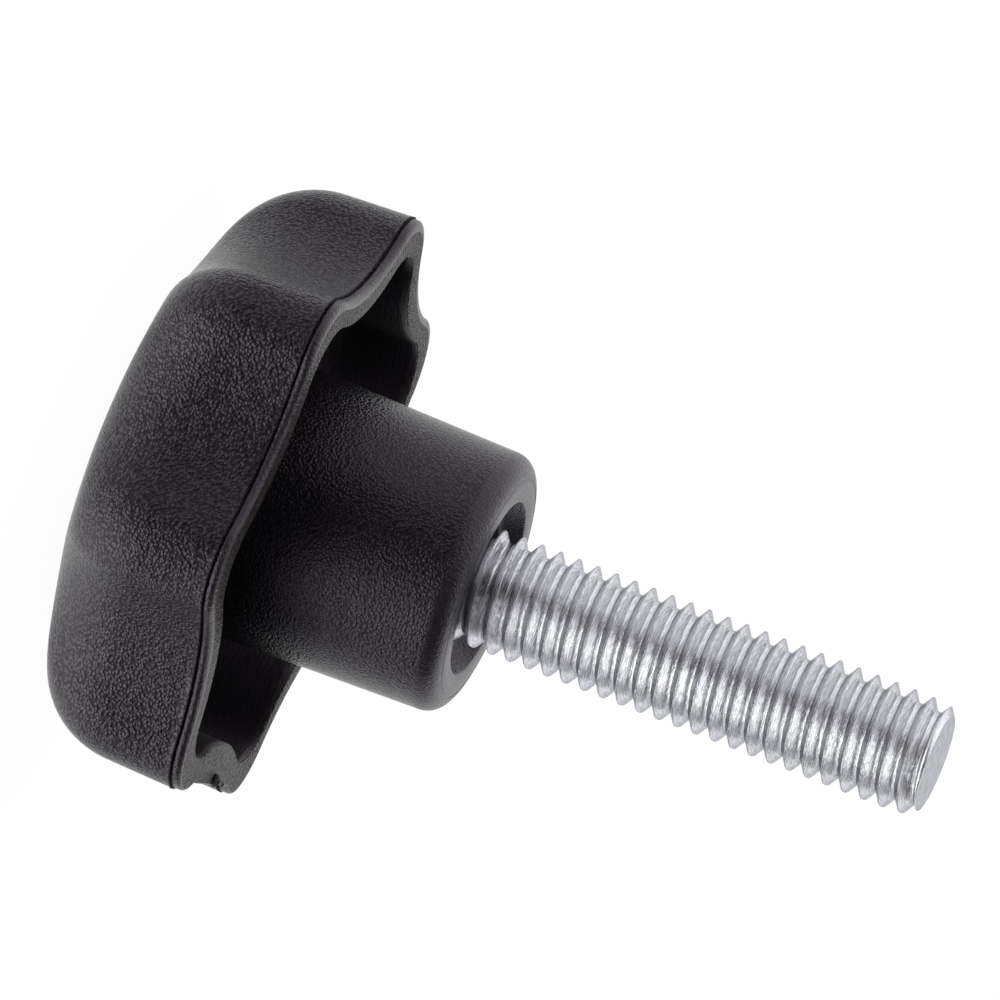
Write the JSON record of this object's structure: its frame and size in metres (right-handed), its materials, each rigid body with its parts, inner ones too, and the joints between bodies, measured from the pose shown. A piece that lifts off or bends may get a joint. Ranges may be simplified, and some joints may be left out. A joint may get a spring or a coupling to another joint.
{
  "type": "star knob",
  "caption": "Hollow lobed hand knob moulded in black plastic around a zinc-plated steel screw stud, with a long tapered hub.",
  "frame": {"origin": "on the stud's axis, in the plane of the hub's end face", "axes": "+Z along the stud towards its tip; a valley between two lobes lies on +X and a lobe on -X; the knob stands on the flat of its crown"},
  "size_m": [0.0305, 0.031, 0.0437],
  "materials": {
    "moulded_plastic": "fine eroded grain, moulded",
    "plated_steel": "bright zinc plate, blue passivated"
  },
  "bodies": {
    "root": {"knob_body": "moulded_plastic", "threaded_stud": "plated_steel"}
  },
  "joints": []
}
